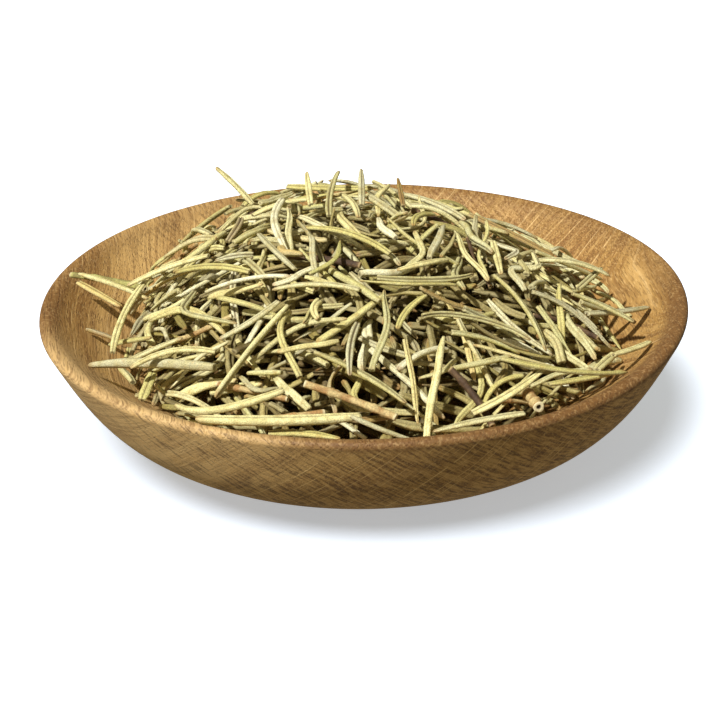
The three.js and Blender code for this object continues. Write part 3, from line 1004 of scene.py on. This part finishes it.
def stalk_parts(points_at, own, radius, roll):
    """What slim_piece needs for bits of stalk."""
    radii = radius[:, None] * STALK_STATIONS[:, 1]
    facts = np.repeat(STALK_STATIONS[:, None], STALK_CORNERS, axis=1)
    return {
        "points_at": points_at,
        "own": own,
        "roll": roll[:, None] + 0 * radii,
        "half_width": radii,
        "half_thickness": radii,
        "grooved": np.ones(len(radius)),
        "along": STALK_STATIONS[:, 0],
        "groove": facts[..., 2],
        "underside": facts[..., 3],
    }


# ---- the single leaves and stalks of the CAD ----

CAD_LEAF_CORNERS = 7
CAD_STALK_CORNERS = 8
SLIMMER = 0.94
FINE_LEAF_PLACES = np.concatenate(
    [[0, 0.02, 0.05], np.linspace(0.10, 0.90, 17), [0.94, 0.97, 0.99, 1]]
)


def cad_line(name, corners):
    """A slim CAD piece's middle line, as a quadratic in the place along it from 0 to 1, and its
    half width and half thickness at the middle. A leaf's narrower end is its tip, at 1."""
    points = np.array([vertex.co for vertex in frame["nodes"][name].data.vertices])
    points = np.unique(np.round(points, 7), axis=0)
    centre = points.mean(axis=0)
    axis = np.linalg.svd(points - centre)[2][0]
    rings = points[np.argsort((points - centre) @ axis)].reshape(-1, corners, 3)
    middles = rings.mean(axis=1)
    spread = np.linalg.norm(rings - middles[:, None], axis=2).max(axis=1)
    if spread[0] < spread[-1]:
        rings, middles = rings[::-1], middles[::-1]
    places = np.linspace(0, 1, len(rings))
    line = np.polyfit(places, middles, 2)
    middle = len(rings) // 2
    before, after = line_at(line, np.array([0.5 - NUDGE, 0.5 + NUDGE]))
    side, up = across_and_up(after - before)
    ring = rings[middle] - middles[middle]
    return line, np.abs(ring @ side).max(), np.abs(ring @ up).max()


def line_at(line, places):
    places = places[:, None]
    return line[0] * places**2 + line[1] * places + line[2]


def build_single_leaf(name, slot, material):
    """A finer leaf in the place of a CAD leaf. Gives its line, half width and half thickness."""
    line, width, thickness = cad_line(name, CAD_LEAF_CORNERS)
    places = FINE_LEAF_PLACES
    taper = leaf_taper(places, np.array([0.78]), rng.uniform(0.55, 0.85, 1))
    ripple = 1 + 0.04 * np.sin(2 * np.pi * (places * 2.1 + rng.random()))
    underside_up = np.pi if rng.random() < 0.35 else 0
    roll = rng.normal(0, 0.3) + underside_up + rng.normal(0, 0.25) * (places - 0.5)
    parts = {
        "points_at": lambda at: line_at(line, at)[None],
        "roll": roll[None],
        "half_width": width * taper * ripple,
        "half_thickness": thickness * taper,
        "own": LEAF_COLOURS[slot] + rng.uniform(-0.01, 0.01, 1),
        "grooved": np.ones(1),
        **leaf_facts(LEAF_SECTION, places),
    }
    slim_piece(name + "_fine", parts, LEAF_SECTION, ONE_CELL, material, name)
    return line, width, thickness


def build_single_stalk(name, material):
    """A finer stalk in the place of a CAD one, a little slimmer to make room for its knots. Gives
    its line, and its radius twice."""
    line, radius, _ = cad_line(name, CAD_STALK_CORNERS)
    own, slimmer = rng.random(1), np.array([radius * SLIMMER])
    parts = stalk_parts(lambda at: line_at(line, at)[None], own, slimmer, np.zeros(1))
    slim_piece(name + "_fine", parts, stalk_section(), ONE_CELL, material, name)
    return line, radius, radius


# ---- the heap ----

# How far each layer's ceiling stands over the heap's smooth surface.
DEEP_LIFT = -6 * MM
MIDDLE_LIFT = -4.2 * MM
STALK_LIFT = -1 * MM
BITS_LIFT = 0.6 * MM
UPPER_LIFT = 0.8 * MM

# Where the heap is shallower than the skirt's depth, near its edge, it is lifted a little.
SKIRT_DEPTH = 7 * MM
SKIRT_LIFT = 1.5 * MM

# How far under the bare wood, and under the single leaves, the ceiling is put to keep them clear.
OUTSIDE_COST = 2 * MM
COVERING_COST = 5 * MM

# A laid leaf is near the surface where it lies less than this under it, and it is on top or
# hidden when more or less than these shares of it are.
NEAR_SURFACE = 0.4 * MM
ON_TOP_SHARE = 0.4
HIDDEN_SHARE = 0.06


def covered_by(line, width, thickness):
    """The grid with one piece's top on it, and FAR_DOWN elsewhere."""
    tops = np.full((CELLS, CELLS), FAR_DOWN)
    cover(tops, line, width, thickness)
    return tops


def lay_heap(singles):
    """Fills the dish with leaves under and around the single ones, which are given as (line, half
    width, half thickness). Gives the leaves and stalks laid, and the heap's final surface."""
    middles = (np.arange(CELLS) - CELLS / 2 + 0.5) * CELL
    x, y = np.meshgrid(middles, middles, indexing="ij")
    radius = np.hypot(x, y)
    wood = np.where(radius < ROLL_RADIUS, inner_height(radius), FAR_UP)
    dome = np.maximum(heap_height(x, y), wood)
    in_heap = heap_height(x, y) > 0
    skirt = np.clip(1 - (dome - wood) / SKIRT_DEPTH, 0, 1)

    def ceiling(lift):
        return np.where(in_heap, dome + lift + SKIRT_LIFT * skirt, wood - OUTSIDE_COST)

    singles = [(line_at(line, COVER_PLACES), *sizes) for line, *sizes in singles]
    surface = wood.copy()
    no_limit = np.full_like(surface, FAR_UP)
    under_singles = no_limit
    for line, *sizes in singles:
        underside = -covered_by(line * (1, 1, -1), *sizes)
        under_singles = np.minimum(under_singles, underside)
    deep = leaf_shapes(count=1200, girth=1.2)
    deep = fill(surface, ceiling(DEEP_LIFT), under_singles, deep, tries=3)
    middle = tilted(leaf_shapes(count=1400), spread=0.16)
    middle = fill(surface, ceiling(MIDDLE_LIFT), under_singles, middle, tries=6)

    clear_singles = no_limit
    for line, *sizes in singles:
        cover(surface, line, *sizes)
        tops = covered_by(line, *sizes)
        clear_singles = np.where(tops > FAR_DOWN, tops - COVERING_COST, clear_singles)

    def clear_ceiling(lift):
        return np.minimum(ceiling(lift), clear_singles)

    stalks = stalk_shapes(count=24)
    stalks = fill(surface, clear_ceiling(STALK_LIFT), no_limit, stalks, tries=4)
    upper = tilted(leaf_shapes(count=900, shortest=13 * MM, girth=0.98), spread=0.34)
    upper = fill(surface, clear_ceiling(UPPER_LIFT), no_limit, upper, tries=6)
    bits = leaf_shapes(count=45, shortest=4 * MM, longest=8 * MM)
    bits = fill(surface, clear_ceiling(BITS_LIFT), no_limit, bits, tries=6)
    return join([deep, middle, upper, bits]), stalks, surface


def exposure(shapes, surface):
    """The share of each laid piece's length that lies at the heap's surface."""
    lines = middle_lines(shapes, COVER_PLACES)
    over = surface[cell_of(lines[..., 0]), cell_of(lines[..., 1])]
    _, upwards = reaches(shapes)
    depth = over - lines[..., 2] - upwards[:, None]
    return (depth < NEAR_SURFACE).mean(axis=1)


def build_leaf_groups(name, shapes, section, places, cells, material):
    """The heap's leaves of one kind, in as many pieces as their texture cells need."""
    groups = math.ceil(len(shapes["x"]) / (cells[0] * cells[1]))
    for group in range(groups):
        parts = leaf_parts(pick(shapes, slice(group, None, groups)), section, places)
        piece_name = f"{name}_{group + 1:02}"
        slim_piece(piece_name, parts, section, cells, material, "leaf_bed")


def build_stalk_group(name, shapes, material):
    own, radius, roll = shapes["own"], shapes["half_width"], shapes["roll"]
    parts = stalk_parts(lambda at: middle_lines(shapes, at), own, radius, roll)
    slim_piece(name, parts, stalk_section(), LEAF_CELLS, material, "leaf_bed")


def build_heap(singles, leaf, dark_bark, pale_bark):
    """The leaves and stalks that take the place of the CAD leaf bed, with painted shade that makes
    the leaves darker where they lie deeper. The hidden leaves are plainer, and a third of the stalks
    are dark."""
    leaves, stalks, surface = lay_heap(singles)
    exposed = exposure(leaves, surface)
    on_top = exposed > ON_TOP_SHARE
    hidden = exposed < HIDDEN_SHARE
    fine = LEAF_SECTION, LEAF_PLACES, LEAF_CELLS
    plain = HIDDEN_LEAF_SECTION, HIDDEN_LEAF_PLACES, HIDDEN_LEAF_CELLS
    half_shaded_leaf = leaf_material("dried_leaf_painted_half_shade", LOW_LIGHT)
    deep_shaded_leaf = leaf_material("dried_leaf_painted_deep_shade", DEEP_LIGHT)
    build_leaf_groups("heap_leaves", pick(leaves, on_top), *fine, leaf)
    build_leaf_groups("heap_between", pick(leaves, ~on_top & ~hidden), *fine, half_shaded_leaf)
    build_leaf_groups("heap_under", pick(leaves, hidden), *plain, deep_shaded_leaf)
    dark = np.arange(len(stalks["x"])) % 3 == 0
    build_stalk_group("heap_stalks_dark", pick(stalks, dark), dark_bark)
    build_stalk_group("heap_stalks_pale", pick(stalks, ~dark), pale_bark)


# ---- floor, light and camera ----


FLOOR_LOOK = {
    "Base Color": (0.78, 0.86, 0.98, 1),
    "Roughness": 0.9,
    "Emission Color": (0.86, 0.925, 1, 1),
    "Emission Strength": 0.426,
}
SURROUND_LOOK = {"Color": (1, 0.90, 0.66, 1), "Strength": 0.27}

# Each sun's strength, width in degrees, and direction from the object.
KEY_SUN = 4.6, 2.5, (-0.42, -0.50, 0.76)
FLOOR_SUN = 4.8, 34, (-0.25, -0.45, 0.86)


def build_floor():
    """A pale floor just under the dish, with a glow that keeps the shadow on it light and grey."""
    material, tree, shader = new_material("floor")
    set_inputs(tree, shader, FLOOR_LOOK)
    bpy.ops.mesh.primitive_plane_add(size=6, location=(0, 0, -0.05 * MM))
    floor = bpy.context.object
    floor.name = "floor"
    floor.data.materials.append(material)
    floor.visible_diffuse = False
    floor.visible_glossy = False
    floor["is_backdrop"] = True
    return floor


def add_sun(name, strength, width, to_light, lit):
    """A sun that lights only the objects given."""
    data = bpy.data.lights.new(name, "SUN")
    data.energy = strength
    data.angle = math.radians(width)
    sun = add_object(name, data)
    sun.rotation_mode = "QUATERNION"
    sun.rotation_quaternion = Vector(to_light).to_track_quat("Z", "Y")
    receivers = bpy.data.collections.new(name + "_lights")
    for item in lit:
        receivers.objects.link(item)
    sun.light_linking.receiver_collection = receivers


def add_light(floor):
    """A small sun from the front left on the object, a broad one on the floor, so that its shadow
    is soft, and an even, faintly yellow surround."""
    add_sun("key", *KEY_SUN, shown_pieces())
    add_sun("floor_key", *FLOOR_SUN, [floor])
    world = bpy.data.worlds.new("surround")
    bpy.context.scene.world = world
    world.use_nodes = True
    tree = world.node_tree
    set_inputs(tree, tree.nodes["Background"], SURROUND_LOOK)


def add_camera():
    """A camera whose picture puts CAMERA_TARGET at TARGET_PIXEL."""
    data = bpy.data.cameras.new("camera")
    data.sensor_width = SENSOR_WIDTH_MM
    data.lens = FOCAL_LENGTH_PIXELS / IMAGE_SIZE * SENSOR_WIDTH_MM
    camera = add_object("camera", data)
    bpy.context.scene.camera = camera
    back = Vector((0, -math.cos(CAMERA_ELEVATION), math.sin(CAMERA_ELEVATION)))
    level_right = Vector((1, 0, 0))
    level_up = back.cross(level_right)
    right = level_right * math.cos(CAMERA_ROLL) + level_up * math.sin(CAMERA_ROLL)
    up = level_up * math.cos(CAMERA_ROLL) - level_right * math.sin(CAMERA_ROLL)
    across = (TARGET_PIXEL[0] - IMAGE_SIZE / 2) / FOCAL_LENGTH_PIXELS
    above = (IMAGE_SIZE / 2 - TARGET_PIXEL[1]) / FOCAL_LENGTH_PIXELS
    backward = (back + right * across + up * above).normalized()
    right = up.cross(backward).normalized()
    up = backward.cross(right)
    axes = Matrix((right, up, backward)).transposed().to_4x4()
    camera.matrix_world = Matrix.Translation(CAMERA_TARGET + back * CAMERA_DISTANCE) @ axes


# ---- the whole object ----


def build_all():
    leaf = leaf_material("dried_leaf", TOP_LIGHT)
    barks = {slot: stalk_material(*look) for slot, look in BARKS.items()}
    build_dish(wood_material())
    slots = {part["node"]: part["material_slot"] for part in frame["record"]["subparts"]}
    singles = []
    for name in sorted(frame["nodes"]):
        if name.startswith("stalk_"):
            singles.append(build_single_stalk(name, barks[slots[name]]))
        elif name.startswith("leaf_") and name != "leaf_bed":
            singles.append(build_single_leaf(name, slots[name], leaf))
    build_heap(singles, leaf, barks["stalk_dark"], barks["stalk_pale"])


bpy.context.scene.view_settings.view_transform = "Standard"
build_all()
add_light(build_floor())
add_camera()
